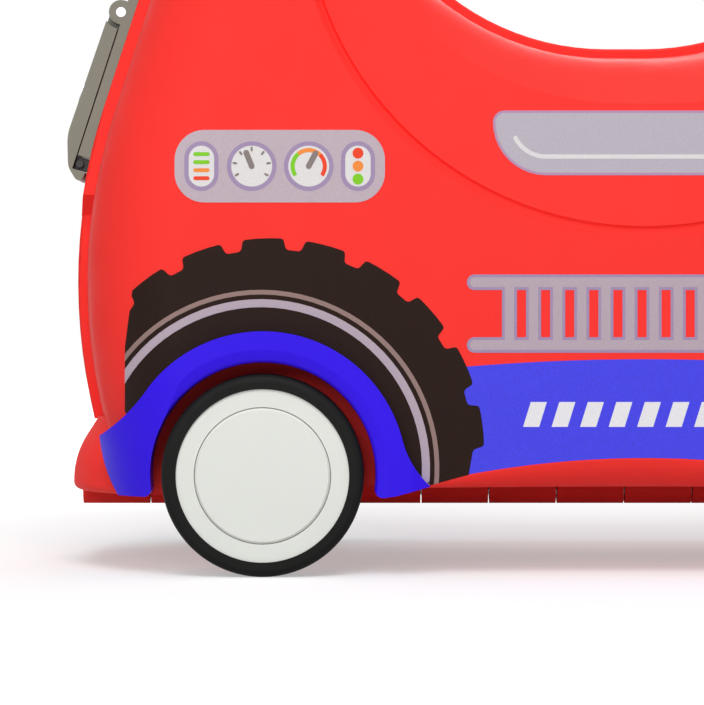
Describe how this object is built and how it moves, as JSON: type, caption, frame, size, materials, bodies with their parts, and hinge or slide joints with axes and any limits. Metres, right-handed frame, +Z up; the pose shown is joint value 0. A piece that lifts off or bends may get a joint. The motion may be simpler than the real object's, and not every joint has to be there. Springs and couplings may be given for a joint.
{
  "type": "ride on suitcase",
  "caption": "Child's ride-on suitcase shaped as a fire engine: two half shells hinged along the bottom, on free wheels, with a saddle, wheel arches, bumpers and flip-up end latches.",
  "frame": {"origin": "on the floor under the middle of the case, on the parting plane between the halves", "axes": "+X towards the rear, -X is the front; -Y is the left half; +Z up"},
  "size_m": [0.4606, 0.206, 0.3007],
  "materials": {
    "shell_red": "satin injection moulded polypropylene",
    "arch_blue": "satin injection moulded polypropylene",
    "tyre_black": "smooth soft tyre compound",
    "hub_white": "satin off-white moulded plastic",
    "latch_grey": "satin warm grey moulded plastic",
    "seal_rubber": "soft extruded rubber",
    "steel": "drawn steel wire and stampings",
    "grip_rubber": "ribbed soft grip",
    "webbing": "woven polyester webbing",
    "buckle_black": "moulded acetal"
  },
  "bodies": {
    "left_half": {"left_shell": "shell_red", "left_front_arch": "arch_blue", "left_front_bumper": "shell_red", "left_front_striker": "buckle_black", "left_front_axle": "steel", "left_rear_arch": "arch_blue", "left_rear_bumper": "shell_red", "left_rear_striker": "buckle_black", "left_rear_axle": "steel", "left_arch_screws": "steel", "left_axle_clips": "steel", "left_grip": "grip_rubber", "rim_seal": "seal_rubber", "hinge_pin": "steel", "front_latch_base": "latch_grey", "front_latch_pin": "steel", "rear_latch_base": "latch_grey", "rear_latch_pin": "steel", "packing_strap": "webbing", "strap_buckle": "buckle_black", "strap_anchors": "buckle_black"},
    "right_half": {"right_shell": "shell_red", "right_front_arch": "arch_blue", "right_front_bumper": "shell_red", "right_front_striker": "buckle_black", "right_front_axle": "steel", "right_rear_arch": "arch_blue", "right_rear_bumper": "shell_red", "right_rear_striker": "buckle_black", "right_rear_axle": "steel", "right_arch_screws": "steel", "right_axle_clips": "steel", "right_grip": "grip_rubber"},
    "left_front_wheel": {"left_front_tyre": "tyre_black", "left_front_hub": "hub_white", "left_front_hub_cap": "hub_white"},
    "left_rear_wheel": {"left_rear_tyre": "tyre_black", "left_rear_hub": "hub_white", "left_rear_hub_cap": "hub_white"},
    "right_front_wheel": {"right_front_tyre": "tyre_black", "right_front_hub": "hub_white", "right_front_hub_cap": "hub_white"},
    "right_rear_wheel": {"right_rear_tyre": "tyre_black", "right_rear_hub": "hub_white", "right_rear_hub_cap": "hub_white"},
    "front_latch": {"front_latch_lever": "latch_grey"},
    "rear_latch": {"rear_latch_lever": "latch_grey"},
    "lock": {"lock_barrel": "steel"}
  },
  "joints": [
    {"name": "lid_hinge", "type": "hinge", "parent": "left_half", "child": "right_half", "pos_m": [0, 0, 0.028], "axis": [-1, 0, 0], "range_deg": [0, 135]},
    {"name": "left_front_wheel_spin", "type": "hinge", "parent": "left_half", "child": "left_front_wheel", "pos_m": [-0.1475, -0.0925, 0.039], "axis": [0, 1, 0], "continuous": true},
    {"name": "left_rear_wheel_spin", "type": "hinge", "parent": "left_half", "child": "left_rear_wheel", "pos_m": [0.1475, -0.0925, 0.039], "axis": [0, 1, 0], "continuous": true},
    {"name": "right_front_wheel_spin", "type": "hinge", "parent": "right_half", "child": "right_front_wheel", "pos_m": [-0.1475, 0.0925, 0.039], "axis": [0, 1, 0], "continuous": true},
    {"name": "right_rear_wheel_spin", "type": "hinge", "parent": "right_half", "child": "right_rear_wheel", "pos_m": [0.1475, 0.0925, 0.039], "axis": [0, 1, 0], "continuous": true},
    {"name": "front_latch_pivot", "type": "hinge", "parent": "left_half", "child": "front_latch", "pos_m": [-0.2083, -0.0076, 0.22569], "axis": [0, 1, 0], "range_deg": [0, 110]},
    {"name": "rear_latch_pivot", "type": "hinge", "parent": "left_half", "child": "rear_latch", "pos_m": [0.2083, -0.0076, 0.22569], "axis": [0, -1, 0], "range_deg": [0, 110]},
    {"name": "lock_turn", "type": "hinge", "parent": "front_latch", "child": "lock", "pos_m": [-0.22425, 0, 0.19302], "axis": [-0.946, 0, 0.3243], "range_deg": [0, 90]}
  ]
}
